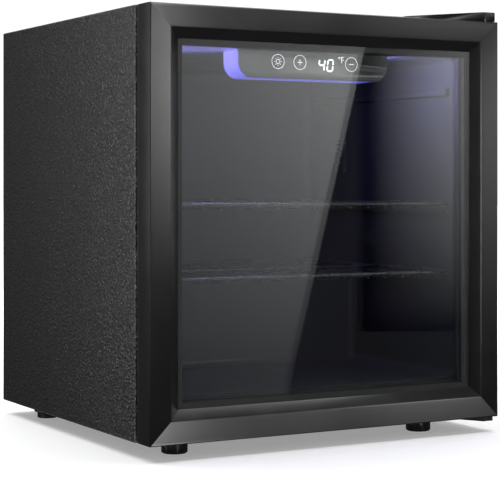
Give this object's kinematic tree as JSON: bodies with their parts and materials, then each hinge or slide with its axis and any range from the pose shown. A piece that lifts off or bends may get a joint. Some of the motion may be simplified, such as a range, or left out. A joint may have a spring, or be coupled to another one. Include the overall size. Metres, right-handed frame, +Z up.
{
  "type": "mini fridge",
  "caption": "Black countertop compressor fridge with a framed glass door hinged at the right, wire shelves, a control unit with a display under the ceiling, and a pebbled steel shell.",
  "frame": {"origin": "on the floor, under the middle of the object's box", "axes": "+Z up; the door faces -Y; +X is to the right of somebody who faces the door"},
  "size_m": [0.472, 0.448, 0.5124],
  "materials": {
    "shell_paint": "pebbled black",
    "base_steel": "satin",
    "zinc_steel": "zinc plated",
    "door_frame": "satin",
    "inner_frame_plastic": "matte",
    "glass": "clear",
    "spacer_metal": "satin",
    "seal_rubber": "matte",
    "magnet": "matte",
    "liner_plastic": "satin",
    "foam": "matte",
    "black_plastic": "satin",
    "control_plastic": "satin",
    "lens_plastic": "frosted",
    "circuit_board": "satin",
    "wire_coating": "satin",
    "compressor_paint": "gloss",
    "motor_iron": "rough",
    "copper": "satin"
  },
  "bodies": {
    "cabinet": {"back_panel": "shell_paint", "back_screws": "zinc_steel", "base_pan": "shell_paint", "bay_wall": "shell_paint", "bottom_hinge_plate": "base_steel", "bottom_hinge_screws": "zinc_steel", "capillary_tube": "copper", "compressor_base": "base_steel", "compressor_bolts": "zinc_steel", "compressor_mounts": "seal_rubber", "compressor_shell": "compressor_paint", "condenser_coil": "copper", "control_casing": "lens_plastic", "control_fascia": "control_plastic", "cord_gland": "black_plastic", "discharge_tube": "copper", "display_module": "circuit_board", "drain_tube": "black_plastic", "drip_tray": "black_plastic", "evaporator_plate": "spacer_metal", "filter_drier": "copper", "foot_inserts": "zinc_steel", "inner_liner": "liner_plastic", "insulation_foam": "foam", "lamp_board": "circuit_board", "lamp_lens": "lens_plastic", "motor_and_pump": "motor_iron", "outer_shell": "shell_paint", "power_board": "circuit_board", "power_box": "black_plastic", "rear_feet": "black_plastic", "relay_cover": "black_plastic", "return_tube": "copper", "sensor_cover": "black_plastic", "suction_tube": "copper", "temperature_sensor": "circuit_board", "top_hinge_cover": "black_plastic", "top_hinge_plate": "base_steel", "top_hinge_screws": "zinc_steel", "touch_board": "circuit_board"},
    "door": {"door_top_rail": "door_frame", "door_bottom_rail": "door_frame", "door_left_stile": "door_frame", "door_right_stile": "door_frame", "corner_keys": "inner_frame_plastic", "outer_glass": "glass", "glazing_spacer": "spacer_metal", "inner_glass": "glass", "door_inner_frame": "inner_frame_plastic", "door_seal": "seal_rubber", "seal_magnets": "magnet", "upper_bush": "black_plastic", "lower_bush": "black_plastic"},
    "upper_shelf": {"upper_shelf": "wire_coating"},
    "lower_shelf": {"lower_shelf": "wire_coating"},
    "left_foot": {"front_foot_left": "black_plastic"},
    "right_foot": {"front_foot_right": "black_plastic"}
  },
  "joints": [
    {"name": "door_hinge", "type": "hinge", "parent": "cabinet", "child": "door", "pos_m": [0.2245, -0.2125, 0.26], "axis": [0, 0, 1], "range_deg": [0, 110]},
    {"name": "upper_shelf_slide", "type": "slide", "parent": "cabinet", "child": "upper_shelf", "axis": [0, -1, 0], "range_m": [0, 0.006]},
    {"name": "lower_shelf_slide", "type": "slide", "parent": "cabinet", "child": "lower_shelf", "axis": [0, -1, 0], "range_m": [0, 0.006]},
    {"name": "left_foot_screw", "type": "slide", "parent": "cabinet", "child": "left_foot", "axis": [0, 0, -1], "range_m": [0, 0.008]},
    {"name": "right_foot_screw", "type": "slide", "parent": "cabinet", "child": "right_foot", "axis": [0, 0, -1], "range_m": [0, 0.008]}
  ]
}
